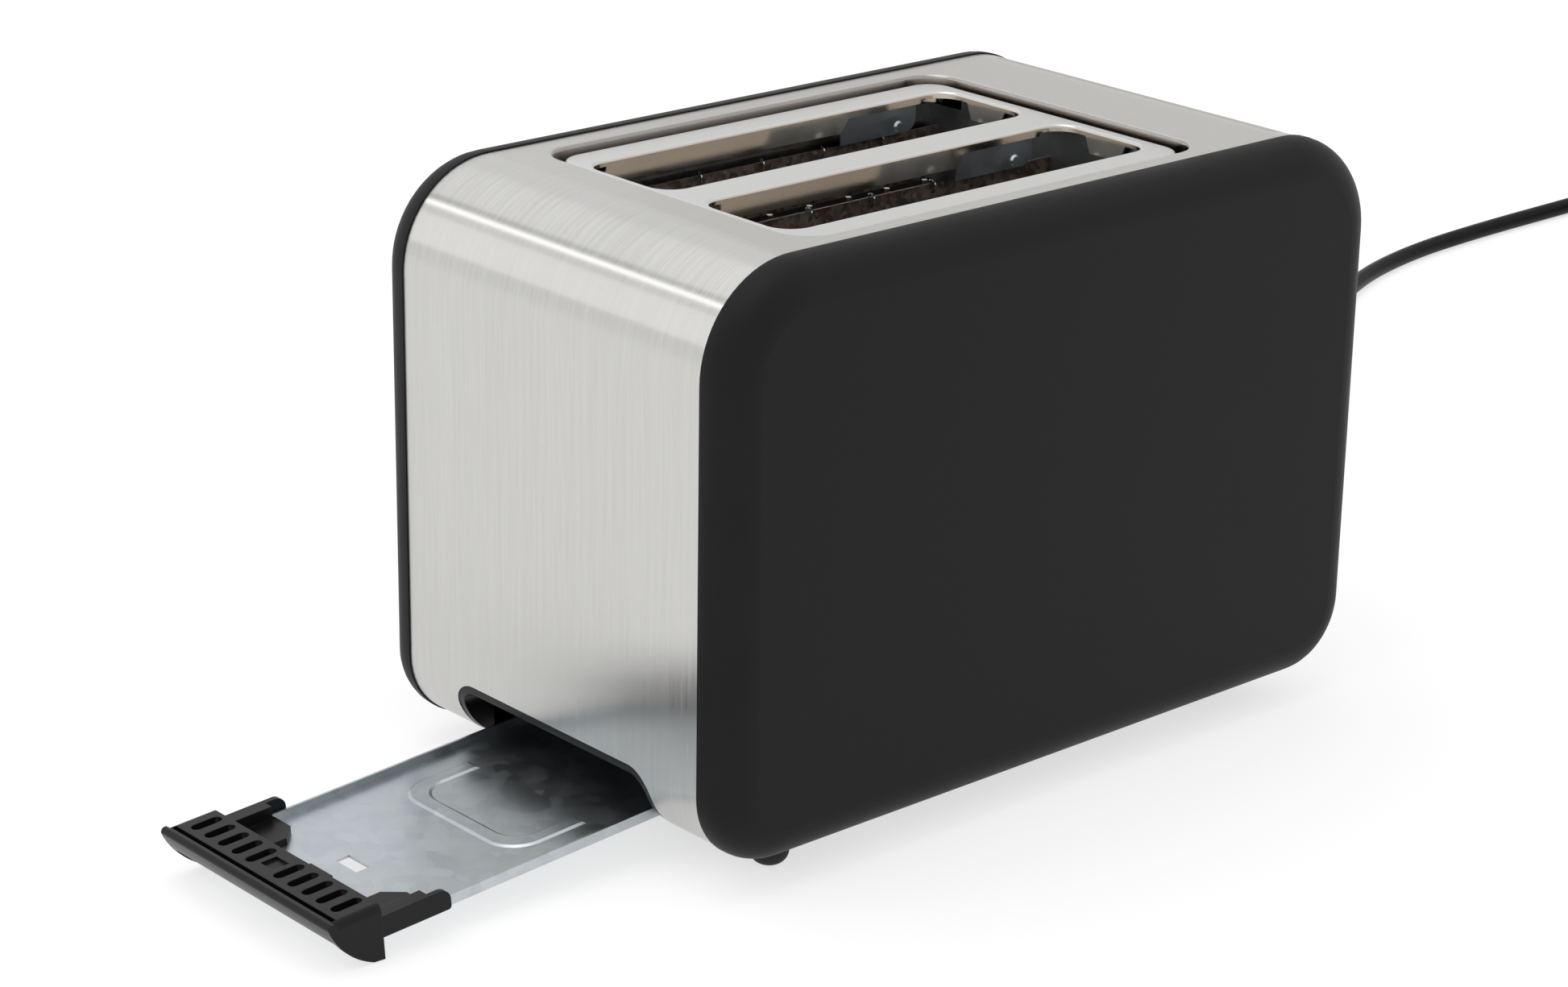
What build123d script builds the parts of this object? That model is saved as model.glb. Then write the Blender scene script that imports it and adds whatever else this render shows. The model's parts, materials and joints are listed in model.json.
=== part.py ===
from build123d import *
import os
from math import pi, radians, tan

os.makedirs("parts", exist_ok=True)

# Two-slice pop-up toaster. Millimetres, +Z up, standing on the plane z = 0.
# +X points to the end with the controls, -X to the end with the crumb tray, -Y is the near side.
# The origin is on the table under the middle of the whole, with the tray pulled out.

# ---- Driving dimensions ----
body_x = 38.0            # middle of the body
body_length = 266.2
body_height = 178.0
foot_height = 9.0
foot_radius = 6.0
foot_dome = 4.5
top_bend = 32.0
bottom_bend = 23.3
band_width = 136.7
sheet = 0.8
panel_thickness = 13.0
panel_proud = 0.5
panel_wall = 2.5
panel_edge_round = 11.7
clearance = 0.4

body_bottom = foot_height
body_top = body_bottom + body_height
tray_end = body_x - body_length / 2
control_end = body_x + body_length / 2
band_half = band_width / 2

# Bread slots and the plate round them
slot_x = body_x - 8.0
slot_y = 26.5
slot_length = 149.0
slot_width = 39.0
slot_corner = 8.0
plate_top = body_top - 2.0
plate_length = 157.0
plate_x = slot_x + 1.0
plate_width = 114.0
plate_corner = 9.0
plate_skirt = 6.0
slot_flange = 7.5
slot_rim = 2.2           # depth of the flange where it is cut away
opening_length = 163.0
opening_width = 120.0
opening_corner = 11.0
opening_flange = 4.5

# Chassis between the two end plates
end_plate_low = slot_x - 76.4
end_plate_high = slot_x + 77.6
chassis_half = 55.2
chassis_floor = body_bottom + sheet
base_thickness = 2.5
base_top = chassis_floor + base_thickness
chassis_top = plate_top - plate_skirt - 0.3

# Lift
lift_travel = 75.0
carrier_top = 127.0
carrier_depth = 12.0
carrier_half = 7.0
spine = 1.2
rod_x = control_end - 39.0
rod_radius = 2.5
rod_fit = 0.05
carriage_x = rod_x - 10.0
lever_y = -24.0
lever_bottom = 122.0
lever_height = 10.0

# Self-centring bread guides
wire_radius = 0.9
guide_travel = 7.5
guide_inner_y = 9.5
guide_outer_y = 43.5
guide_rail_offset = 1.6
guide_rail_z = (56.0, 166.0)
wire_pitch = 16.0
wire_z = (52.0, 170.0)
wire_count = 9

# Control end
fascia_front = control_end + 2.0
fascia_back = control_end - 2.5
fascia_z = 95.0
fascia_width = 88.0
fascia_height = 118.0
fascia_corner = 10.0
board_x = control_end - 15.0
board_thickness = 1.6
button_y = 20.0
button_z = (130.0, 110.0, 90.0)
button_radius = 6.0
button_travel = 2.0
light_y = 36.0
dial_y = 20.0
dial_z = 58.0
dial_radius = 14.0
shaft_radius = 3.0

# Crumb tray, which slides on a gentle slope
tray_slope = 4.0
tray_floor_z = 13.4      # upper side of the tray's floor at the mouth
tray_half = 38.9
tray_rim = 2.4
tray_outer_end = -100.0
tray_inner_end = 96.0
mouth_half = 46.0
mouth_top = 32.0
mouth_corner = 9.0
surround_wall = 2.6

# Cord
cord_diameter = 7.0
cord_radius = cord_diameter / 2
cord_axis_z = cord_radius + 0.1
gland_y = 54.0
gland_z = 36.0
gland_length = 33.0

tray_plane = Plane(
    origin=(tray_end, 0, tray_floor_z),
    x_dir=Vector(1, 0, 0).rotate(Axis.Y, -tray_slope),
    z_dir=Vector(0, 0, 1).rotate(Axis.Y, -tray_slope),
)


# ---- Helpers ----
def block(x, y, z, mode=Mode.ADD):
    """A box between two values along each axis."""
    with Locations(((x[0] + x[1]) / 2, (y[0] + y[1]) / 2, (z[0] + z[1]) / 2)):
        Box(x[1] - x[0], y[1] - y[0], z[1] - z[0], mode=mode)


def rod_along_x(x, y, z, radius, mode=Mode.ADD):
    """A round bar between two values of x."""
    with Locations(((x[0] + x[1]) / 2, y, z)):
        Cylinder(radius, x[1] - x[0], rotation=(0, 90, 0), mode=mode)


def rod_along_z(x, y, z, radius, mode=Mode.ADD):
    """A round bar between two values of z."""
    with Locations((x, y, (z[0] + z[1]) / 2)):
        Cylinder(radius, z[1] - z[0], mode=mode)


def side_outline(inset):
    """The body seen from the side, drawn on the XZ plane, smaller all round by the inset."""
    with BuildSketch(Plane.XZ) as outline:
        with Locations((body_x, (body_bottom + body_top) / 2)):
            Rectangle(body_length - 2 * inset, body_height - 2 * inset)
        fillet(outline.vertices().group_by(Axis.Y)[-1], top_bend - inset)
        fillet(outline.vertices().group_by(Axis.Y)[0], bottom_bend - inset)
    return outline.sketch


def far_twin(near_piece):
    """The same piece mirrored to the far side."""
    with BuildPart() as twin:
        mirror(near_piece.part, about=Plane.XZ)
    return twin


def swept_round(points, radii, radius):
    """A round bar along straight runs joined by arcs; gives the part and its path's length."""
    with BuildPart() as bar:
        with BuildLine() as path:
            FilletPolyline(*points, radius=radii)
        with BuildSketch(Plane(origin=path.line @ 0, z_dir=path.line % 0)):
            Circle(radius)
        sweep(path=path.line)
    return bar, sum(edge.length for edge in path.edges())


def mouth_sketch(inset):
    """The tray mouth seen from its end: straight sides, two rounded upper corners."""
    with BuildSketch(Plane.YZ.offset(tray_end - 1)) as mouth:
        with Locations((0, mouth_top - inset)):
            Rectangle(2 * (mouth_half - inset), 2 * mouth_top, align=(Align.CENTER, Align.MAX))
        fillet(mouth.vertices().group_by(Axis.Y)[-1], mouth_corner - inset)
    return mouth.sketch


# ---- Outer shell: one steel band wrapped over the top and round both ends ----
with BuildPart() as outer_shell:
    extrude(side_outline(0), amount=band_half, both=True)
    extrude(side_outline(sheet), amount=band_half + 1, both=True, mode=Mode.SUBTRACT)
    flat_half = body_length / 2 - bottom_bend - 1
    block((body_x - flat_half, body_x + flat_half), (-band_half, band_half),
          (body_bottom - 1, body_bottom + 2), Mode.SUBTRACT)
    with BuildSketch(Plane.XY.offset(body_top)):
        with Locations((plate_x, 0)):
            RectangleRounded(opening_length, opening_width, opening_corner)
    extrude(amount=-3, mode=Mode.SUBTRACT)
    with BuildSketch(Plane.XY.offset(body_top)):
        with Locations((plate_x, 0)):
            RectangleRounded(opening_length + 2 * sheet, opening_width + 2 * sheet,
                             opening_corner + sheet)
            RectangleRounded(opening_length, opening_width, opening_corner, mode=Mode.SUBTRACT)
    extrude(amount=-opening_flange)
    rolled_edge = outer_shell.faces().sort_by(Axis.Z)[-1].inner_wires()[0].edges()
    fillet(rolled_edge, 1.4)
    extrude(mouth_sketch(0), amount=42, mode=Mode.SUBTRACT)
    with BuildSketch(Plane.YZ.offset(control_end)):
        with Locations((0, fascia_z)):
            RectangleRounded(fascia_width - 4, fascia_height - 4, fascia_corner - 2)
    extrude(amount=-3, mode=Mode.SUBTRACT)
    rod_along_x((control_end - 3, control_end + 1), gland_y, gland_z, 5.5, Mode.SUBTRACT)
outer_shell.part.label = "outer_shell"
export_step(outer_shell.part, "parts/outer_shell.step")

# ---- Side panels: hollow mouldings with cushion edges and a row of vents underneath ----
with BuildPart() as panel_hollow:
    extrude(side_outline(panel_wall - panel_proud), amount=band_half + panel_thickness - panel_wall)
    fillet(panel_hollow.faces().sort_by(Axis.Y)[0].edges(), panel_edge_round - panel_wall)

vent_count = 28
vent_pitch = 6.4
vent_width = 3.4
vent_reach = 7.0         # from under the panel up into its rounded edge
with BuildPart() as near_side_panel:
    extrude(side_outline(-panel_proud), amount=band_half + panel_thickness)
    fillet(near_side_panel.faces().sort_by(Axis.Y)[0].edges(), panel_edge_round)
    add(panel_hollow.part, mode=Mode.SUBTRACT)
    block((tray_end - 2, control_end + 2), (-band_half, 1), (0, body_top + 2), Mode.SUBTRACT)
    with Locations((body_x + 5, -band_half - 0.9 - vent_reach / 2, body_bottom + 1)):
        with GridLocations(vent_pitch, 0, vent_count, 1):
            Box(vent_width, vent_reach, 9, mode=Mode.SUBTRACT)
near_side_panel.part.label = "near_side_panel"
export_step(near_side_panel.part, "parts/near_side_panel.step")

far_side_panel = far_twin(near_side_panel)
far_side_panel.part.label = "far_side_panel"
export_step(far_side_panel.part, "parts/far_side_panel.step")

# ---- Base: floor plate with side walls, vents and screw bosses ----
base_half_length = body_length / 2 - bottom_bend - 0.6
boss_x = (body_x - 62, body_x + 62)
boss_y = 61.0
screw_radius = 1.5
with BuildPart() as base:
    block((body_x - base_half_length, body_x + base_half_length), (-band_half, band_half),
          (chassis_floor, base_top))
    for side in (-1, 1):
        with Locations((body_x, side * (band_half - 1), base_top + 6)):
            Box(2 * base_half_length, 2, 12)
        for x in boss_x:
            rod_along_z(x, side * boss_y, (base_top, base_top + 10), 4)
            rod_along_z(x, side * boss_y, (chassis_floor - 1, base_top + 11), screw_radius + 0.1,
                        Mode.SUBTRACT)
    with Locations((slot_x, 0, base_top)):
        with GridLocations(9, 2 * slot_y, 15, 2):
            Box(3.5, 30, 12, mode=Mode.SUBTRACT)
base.part.label = "base"
export_step(base.part, "parts/base.step")

screw_head = 3.2
with BuildPart() as base_screws:
    for x in boss_x:
        for side in (-1, 1):
            rod_along_z(x, side * boss_y, (chassis_floor, base_top + 8), screw_radius)
            rod_along_z(x, side * boss_y, (chassis_floor - 1.6, chassis_floor), screw_head)
            block((x - 2, x + 2), (side * boss_y - 0.4, side * boss_y + 0.4),
                  (chassis_floor - 2, chassis_floor - 0.8), Mode.SUBTRACT)
base_screws.part.label = "base_screws"
export_step(base_screws.part, "parts/base_screws.step")

# ---- Four rubber feet, the pair under the controls set closer together ----
foot_x = 100.0
tray_end_foot_y = 62.0
control_end_foot_y = 52.0
with BuildPart() as rubber_feet:
    with BuildSketch():
        with Locations((body_x - foot_x, 0)):
            with GridLocations(0, 2 * tray_end_foot_y, 1, 2):
                Circle(foot_radius)
        with Locations((body_x + foot_x, 0)):
            with GridLocations(0, 2 * control_end_foot_y, 1, 2):
                Circle(foot_radius)
    extrude(amount=chassis_floor)
    fillet(rubber_feet.faces().filter_by(Axis.Z).group_by(Axis.Z)[0].edges(), foot_dome)
rubber_feet.part.label = "rubber_feet"
export_step(rubber_feet.part, "parts/rubber_feet.step")

# ---- Tray surround: plastic arch lining the mouth, its front following the steel's bend ----
with BuildPart() as tray_surround:
    extrude(mouth_sketch(0.1), amount=14)
    extrude(mouth_sketch(surround_wall), amount=15, mode=Mode.SUBTRACT)
    extrude(side_outline(0.3), amount=band_half, both=True, mode=Mode.INTERSECT)
    block((tray_end - 2, tray_end + 20), (-band_half, band_half), (0, chassis_floor + 1),
          Mode.SUBTRACT)
tray_surround.part.label = "tray_surround"
export_step(tray_surround.part, "parts/tray_surround.step")

# ---- Slot plate: satin plate with two flanged bread slots ----
flange_wall = 0.7
shallow_low = plate_top - 3.2
end_sheet_x = (60.5, 93.0)
end_tab = 8.5
tab_slant = 2.5
with BuildPart() as slot_plate:
    with BuildSketch(Plane.XY.offset(plate_top)):
        with Locations((plate_x, 0)):
            RectangleRounded(plate_length, plate_width, plate_corner)
    extrude(amount=-plate_skirt)
    with BuildSketch(Plane.XY.offset(plate_top - sheet)):
        with Locations((plate_x, 0)):
            RectangleRounded(plate_length - 2 * sheet, plate_width - 2 * sheet,
                             plate_corner - sheet)
    extrude(amount=-plate_skirt, mode=Mode.SUBTRACT)
    for side in (-1, 1):
        with BuildSketch(Plane.XY.offset(plate_top)):
            with Locations((slot_x, side * slot_y)):
                RectangleRounded(slot_length + 2 * flange_wall, slot_width + 2 * flange_wall,
                                 slot_corner + flange_wall)
        extrude(amount=-slot_flange)
        with BuildSketch(Plane.XY.offset(plate_top)):
            with Locations((slot_x, side * slot_y)):
                RectangleRounded(slot_length, slot_width, slot_corner)
        extrude(amount=-slot_flange, mode=Mode.SUBTRACT)
    for rim in slot_plate.faces().sort_by(Axis.Z)[-1].inner_wires():
        fillet(rim.edges(), 1.0)
    fillet(slot_plate.faces().sort_by(Axis.Z)[-1].outer_wire().edges(), 1.4)
    # the flange is relieved at every corner, leaving tabs with slanted sides, and its long
    # walls are shallower beside the end sheets
    rim_low = plate_top - slot_rim
    cut_low = plate_top - slot_flange - 1
    for side in (-1, 1):
        y = side * slot_y
        for end in (-1, 1):
            slot_end = slot_x + end * slot_length / 2
            for turn in (-1, 1):
                beyond = y + turn * (slot_width / 2 + flange_wall + 0.3)
                with BuildSketch(Plane.YZ.offset(slot_end + end * 1.5)):
                    Polygon((y + turn * end_tab, rim_low), (y + turn * (end_tab - tab_slant), cut_low),
                            (beyond, cut_low), (beyond, rim_low), align=None)
                extrude(amount=-end * (slot_corner + 2.5), mode=Mode.SUBTRACT)
        with BuildSketch(Plane.XZ.offset(-y)):
            Polygon((end_sheet_x[0] + tab_slant, shallow_low), (end_sheet_x[1] + 3, shallow_low),
                    (end_sheet_x[1] + 3, cut_low), (end_sheet_x[0] - 1, cut_low), align=None)
        extrude(amount=slot_width / 2 + flange_wall + 1, both=True, mode=Mode.SUBTRACT)
slot_plate.part.label = "slot_plate"
export_step(slot_plate.part, "parts/slot_plate.step")

# ---- Chassis end plates, slotted for the bread carriers and the guide rails ----
carrier_slot = (carrier_top - carrier_depth - lift_travel - 3, carrier_top + 3)


def chassis_end_plate(x):
    """A sheet across the body with its working slots."""
    with BuildPart() as plate:
        block((x, x + sheet), (-chassis_half, chassis_half), (base_top, chassis_top))
        block((x, x + sheet), (-40, 40), (chassis_top, plate_top - sheet))
        for side in (-1, 1):
            y = side * slot_y
            block((x - 1, x + 2), (y - 1.1, y + 1.1), carrier_slot, Mode.SUBTRACT)
            for z in guide_rail_z:
                for rest, step in ((guide_inner_y - guide_rail_offset, guide_travel),
                                   (guide_outer_y + guide_rail_offset, -guide_travel)):
                    ends = sorted((side * rest, side * (rest + step)))
                    block((x - 1, x + 2), (ends[0] - 1.3, ends[1] + 1.3), (z - 1.3, z + 1.3),
                          Mode.SUBTRACT)
    return plate


with BuildPart() as tray_end_plate:
    add(chassis_end_plate(end_plate_low).part)
    block((end_plate_low - 1, end_plate_low + 2), (-45, 45), (0, body_bottom + 22), Mode.SUBTRACT)
tray_end_plate.part.label = "tray_end_plate"
export_step(tray_end_plate.part, "parts/tray_end_plate.step")

control_end_plate = chassis_end_plate(end_plate_high - sheet)
control_end_plate.part.label = "control_end_plate"
export_step(control_end_plate.part, "parts/control_end_plate.step")

inside_x = (end_plate_low + sheet, end_plate_high - sheet)

# ---- Dimpled sheets welded behind the slots' long walls at the control end ----
end_sheet = 0.6
end_sheet_z = (plate_top - 11.8, plate_top - 1.0)
end_sheet_round = 4.5
dimple_at = (end_sheet_x[1] - 7.7, plate_top - 9.4)
dimple_radius = 1.9
dimple_depth = 0.7
with BuildPart() as slot_end_sheets:
    for side in (-1, 1):
        for turn in (-1, 1):
            flange_back = side * slot_y + turn * (slot_width / 2 + flange_wall)
            with BuildSketch(Plane.XZ.offset(-flange_back)):
                with Locations((sum(end_sheet_x) / 2, sum(end_sheet_z) / 2)):
                    Rectangle(end_sheet_x[1] - end_sheet_x[0], end_sheet_z[1] - end_sheet_z[0])
            extrude(amount=-turn * end_sheet)
            with BuildSketch(Plane.XZ.offset(-flange_back)):
                with Locations(dimple_at):
                    Circle(dimple_radius)
            extrude(amount=turn * dimple_depth, taper=40)
    low_corners = slot_end_sheets.edges().filter_by(Axis.Y).filter_by(
        lambda edge: edge.center().X > end_sheet_x[1] - 1 and edge.center().Z < end_sheet_z[0] + 1)
    fillet(low_corners, end_sheet_round)
slot_end_sheets.part.label = "slot_end_sheets"
export_step(slot_end_sheets.part, "parts/slot_end_sheets.step")

# ---- Reflectors: bright sheets behind the outer heaters ----
with BuildPart() as near_reflector:
    block(inside_x, (-chassis_half, -chassis_half + 0.6), (base_top + 20, chassis_top))
near_reflector.part.label = "near_reflector"
export_step(near_reflector.part, "parts/near_reflector.step")

far_reflector = far_twin(near_reflector)
far_reflector.part.label = "far_reflector"
export_step(far_reflector.part, "parts/far_reflector.step")

# ---- Heaters: mica boards wound with flat resistance ribbon ----
heater_y = 51.0
mica = 0.8
heater_z = (46.0, 172.0)
ribbon_rows = 13
ribbon_pitch = 8.6
ribbon_width = 1.4
ribbon_thickness = 0.3
ribbon_length = 148.0


def ribbons(y):
    """Rows of ribbon on one face of a board; y is the middle of the ribbon."""
    middle = (sum(inside_x) / 2, y, sum(heater_z) / 2 + 2)
    for row in range(ribbon_rows):
        rise = (row - (ribbon_rows - 1) / 2) * ribbon_pitch
        with Locations((middle[0], y, middle[2] + rise)):
            Box(ribbon_length, ribbon_thickness, ribbon_width)


with BuildPart() as near_heater_board:
    block(inside_x, (-heater_y - mica / 2, -heater_y + mica / 2), heater_z)
near_heater_board.part.label = "near_heater_board"
export_step(near_heater_board.part, "parts/near_heater_board.step")

far_heater_board = far_twin(near_heater_board)
far_heater_board.part.label = "far_heater_board"
export_step(far_heater_board.part, "parts/far_heater_board.step")

with BuildPart() as centre_heater_board:
    block(inside_x, (-mica / 2, mica / 2), heater_z)
centre_heater_board.part.label = "centre_heater_board"
export_step(centre_heater_board.part, "parts/centre_heater_board.step")

ribbon_out = (mica + ribbon_thickness) / 2
with BuildPart() as near_heater_ribbons:
    ribbons(-heater_y + ribbon_out)
near_heater_ribbons.part.label = "near_heater_ribbons"
export_step(near_heater_ribbons.part, "parts/near_heater_ribbons.step")

far_heater_ribbons = far_twin(near_heater_ribbons)
far_heater_ribbons.part.label = "far_heater_ribbons"
export_step(far_heater_ribbons.part, "parts/far_heater_ribbons.step")

with BuildPart() as centre_heater_ribbons:
    ribbons(-ribbon_out)
    ribbons(ribbon_out)
centre_heater_ribbons.part.label = "centre_heater_ribbons"
export_step(centre_heater_ribbons.part, "parts/centre_heater_ribbons.step")

# ---- Bread guides: four wire grids that close on the bread as the lever goes down ----
for name, y, offset in (
    ("near_outer_guide", -guide_outer_y, -guide_rail_offset),
    ("near_inner_guide", -guide_inner_y, guide_rail_offset),
    ("far_inner_guide", guide_inner_y, -guide_rail_offset),
    ("far_outer_guide", guide_outer_y, guide_rail_offset),
):
    with BuildPart() as bread_guide:
        for wire in range(wire_count):
            x = slot_x + (wire - (wire_count - 1) / 2) * wire_pitch
            rod_along_z(x, y, wire_z, wire_radius)
        for z in guide_rail_z:
            rod_along_x((end_plate_low - 2.5, end_plate_high + 2.5), y + offset, z, wire_radius)
    bread_guide.part.label = name
    export_step(bread_guide.part, f"parts/{name}.step")

# ---- Bread carriers: a spine with cross teeth between the guide wires ----
carrier_z = (carrier_top - carrier_depth, carrier_top - 2)
with BuildPart() as near_bread_carrier:
    block((end_plate_low - 3, carriage_x), (-slot_y - spine / 2, -slot_y + spine / 2), carrier_z)
    for tooth in range(wire_count - 1):
        x = slot_x + (tooth - (wire_count - 2) / 2) * wire_pitch
        with BuildSketch(Plane.YZ.offset(x - spine / 2)):
            with Locations((-slot_y, carrier_top)):
                Rectangle(2 * carrier_half, 6, align=(Align.CENTER, Align.MAX))
                with Locations((0, 1)):
                    Rectangle(7, 4, align=(Align.CENTER, Align.MAX), mode=Mode.SUBTRACT)
        extrude(amount=spine)
near_bread_carrier.part.label = "near_bread_carrier"
export_step(near_bread_carrier.part, "parts/near_bread_carrier.step")

far_bread_carrier = far_twin(near_bread_carrier)
far_bread_carrier.part.label = "far_bread_carrier"
export_step(far_bread_carrier.part, "parts/far_bread_carrier.step")

# ---- Carriage: joins the carriers, runs on the rod and carries the lever arm ----
carriage_z = (carrier_top - carrier_depth, carrier_top + 12)
armature_y = (12.0, 30.0)
armature_x = (rod_x + 3, rod_x + 21)
armature_thickness = 1.8
with BuildPart() as carriage:
    block((carriage_x, carriage_x + 1.5), (-32, 32), carriage_z)
    rod_along_z(rod_x, 0, carriage_z, 6)
    block((carriage_x, rod_x), (-5, 5), carriage_z)
    block((carriage_x, fascia_front + 12), (lever_y - 1.25, lever_y + 1.25),
          (lever_bottom, lever_bottom + lever_height))
    block((carriage_x, armature_x[1]), (armature_y[0] + 3, armature_y[1] - 3),
          (carriage_z[0] + armature_thickness, carriage_z[0] + armature_thickness + 3))
    rod_along_z(rod_x, 0, (carriage_z[0] - 1, carriage_z[1] + 1), rod_radius + rod_fit,
                Mode.SUBTRACT)
carriage.part.label = "carriage"
export_step(carriage.part, "parts/carriage.step")

with BuildPart() as latch_armature:
    block(armature_x, armature_y, (carriage_z[0], carriage_z[0] + armature_thickness))
latch_armature.part.label = "latch_armature"
export_step(latch_armature.part, "parts/latch_armature.step")

# ---- Lever knob: a rounded paddle with a hollow for the finger ----
knob_x = (fascia_front + 1.2, fascia_front + 24)
knob_z = (lever_bottom - 1.5, lever_bottom + lever_height + 1.5)
with BuildPart() as lever_knob:
    block(knob_x, (lever_y - 17, lever_y + 17), knob_z)
    fillet(lever_knob.edges().filter_by(Axis.Z).group_by(Axis.X)[-1], 9)
    fillet(lever_knob.faces().filter_by(Axis.Z).edges(), 2.5)
    with Locations((knob_x[1] - 9, lever_y, knob_z[1] + 21)):
        Cylinder(22.5, 26, rotation=(90, 0, 0), mode=Mode.SUBTRACT)
    block((knob_x[0] - 1, fascia_front + 12), (lever_y - 1.25, lever_y + 1.25),
          (lever_bottom, lever_bottom + lever_height), Mode.SUBTRACT)
lever_knob.part.label = "lever_knob"
export_step(lever_knob.part, "parts/lever_knob.step")

# ---- Guide rod, its two brackets and the return spring ----
rod_z = (28.0, 174.0)
with BuildPart() as guide_rod:
    rod_along_z(rod_x, 0, rod_z, rod_radius)
guide_rod.part.label = "guide_rod"
export_step(guide_rod.part, "parts/guide_rod.step")

bracket_tab = 12.0
for name, z, turn, half in (
    ("rod_top_bracket", rod_z[1], -1, 16),
    ("rod_bottom_bracket", rod_z[0] - 1.5, 1, 10),
):
    with BuildPart() as rod_bracket:
        block((end_plate_high, rod_x + 9), (-half, half), (z, z + 1.5))
        tab = sorted((z, z + turn * bracket_tab))
        block((end_plate_high, end_plate_high + 1.5), (-5, 5), tab)
    rod_bracket.part.label = name
    export_step(rod_bracket.part, f"parts/{name}.step")

spring_wire = 0.45
spring_radius = 3.5
spring_y = 11.0
spring_z = (carriage_z[1] + 1.5, rod_z[1] - 1.5)
with BuildPart() as return_spring:
    with BuildLine(Plane((rod_x, spring_y, spring_z[0]))) as coils:
        Helix(pitch=(spring_z[1] - spring_z[0]) / 12, height=spring_z[1] - spring_z[0],
              radius=spring_radius)
    with BuildSketch(Plane(origin=coils.line @ 0, z_dir=coils.line % 0)):
        Circle(spring_wire)
    sweep(path=coils.line, is_frenet=True)
return_spring.part.label = "return_spring"
export_step(return_spring.part, "parts/return_spring.step")

# ---- Electromagnet that holds the carriage down ----
magnet_top = carriage_z[0] - lift_travel - 0.3
magnet_x = (rod_x + 5, rod_x + 19)
leg_width = 4.0
with BuildPart() as magnet_core:
    block((magnet_x[0], board_x), (13, 29), (magnet_top - 17, magnet_top - 13))
    for y in (13.0, 19.0, 25.0):
        block(magnet_x, (y, y + leg_width), (magnet_top - 17, magnet_top))
magnet_core.part.label = "magnet_core"
export_step(magnet_core.part, "parts/magnet_core.step")

with BuildPart() as magnet_coil:
    block((magnet_x[0] - 1.6, magnet_x[1] + 1.6), (17.2, 24.8), (magnet_top - 12.5, magnet_top - 2))
    block((magnet_x[0] - 0.1, magnet_x[1] + 0.1), (18.9, 23.1), (magnet_top - 13, magnet_top - 1),
          Mode.SUBTRACT)
magnet_coil.part.label = "magnet_coil"
export_step(magnet_coil.part, "parts/magnet_coil.step")

# ---- Control panel: black fascia set into the steel ----
board_post = ((-8.0, 44.0), (-8.0, 146.0), (38.0, 40.5), (38.0, 146.0))
slot_low = lever_bottom - lift_travel - 2
with BuildPart() as control_panel:
    with BuildSketch(Plane.YZ.offset(control_end)):
        with Locations((0, fascia_z)):
            RectangleRounded(fascia_width, fascia_height, fascia_corner)
    extrude(amount=fascia_front - control_end)
    fillet(control_panel.faces().sort_by(Axis.X)[-1].edges(), 1.2)
    with BuildSketch(Plane.YZ.offset(control_end)):
        with Locations((0, fascia_z)):
            RectangleRounded(fascia_width - 4.4, fascia_height - 4.4, fascia_corner - 2.2)
    extrude(amount=fascia_back - control_end)
    for y, z in board_post:
        rod_along_x((board_x + board_thickness, fascia_back), y, z, 3)
    block((fascia_back - 1, fascia_front + 1), (lever_y - 2, lever_y + 2),
          (slot_low, lever_bottom + lever_height + 2), Mode.SUBTRACT)
    for z in button_z:
        rod_along_x((fascia_back - 1, fascia_front + 1), button_y, z,
                    button_radius + clearance, Mode.SUBTRACT)
        rod_along_x((fascia_back - 1, fascia_front + 1), light_y, z, 1.6, Mode.SUBTRACT)
    rod_along_x((fascia_back - 1, fascia_front + 1), dial_y, dial_z, shaft_radius + clearance,
                Mode.SUBTRACT)
control_panel.part.label = "control_panel"
export_step(control_panel.part, "parts/control_panel.step")

# ---- Three push buttons ----
for name, z in zip(("cancel_button", "reheat_button", "defrost_button"), button_z):
    with BuildPart() as push_button:
        rod_along_x((fascia_back - 0.4, fascia_front + 3), button_y, z, button_radius)
        fillet(push_button.faces().sort_by(Axis.X)[-1].edges(), 1.2)
        rod_along_x((fascia_back - 2.4, fascia_back - 0.4), button_y, z, button_radius + 1.5)
        rod_along_x((fascia_back - 4.4, fascia_back - 2.4), button_y, z, 2.5)
    push_button.part.label = name
    export_step(push_button.part, f"parts/{name}.step")

with BuildPart() as button_switches:
    for z in button_z:
        block((board_x + board_thickness, board_x + 5), (button_y - 3, button_y + 3),
              (z - 3, z + 3))
        rod_along_x((board_x + 5, fascia_back - 4.4 - button_travel - 0.4), button_y, z, 1.6)
button_switches.part.label = "button_switches"
export_step(button_switches.part, "parts/button_switches.step")

with BuildPart() as indicator_lights:
    for z in button_z:
        rod_along_x((board_x + board_thickness, fascia_front + 0.4), light_y, z, 1.5)
indicator_lights.part.label = "indicator_lights"
export_step(indicator_lights.part, "parts/indicator_lights.step")

# ---- Browning dial: fluted knob with a pointer groove, on a shaft into its potentiometer ----
dial_x = (fascia_front + 1, fascia_front + 14)
with BuildPart() as browning_dial:
    rod_along_x(dial_x, dial_y, dial_z, dial_radius)
    fillet(browning_dial.faces().sort_by(Axis.X)[-1].edges(), 1.5)
    with Locations(Plane.YZ.offset(dial_x[1] - 4.5)):
        with Locations((dial_y, dial_z)):
            with PolarLocations(dial_radius + 0.9, 24):
                Cylinder(1.5, 11, mode=Mode.SUBTRACT)
    block((dial_x[1] - 0.8, dial_x[1] + 1), (dial_y - 0.8, dial_y + 0.8),
          (dial_z + 4, dial_z + dial_radius), Mode.SUBTRACT)
    rod_along_x((board_x + 3.5, dial_x[0]), dial_y, dial_z, shaft_radius)
browning_dial.part.label = "browning_dial"
export_step(browning_dial.part, "parts/browning_dial.step")

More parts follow.
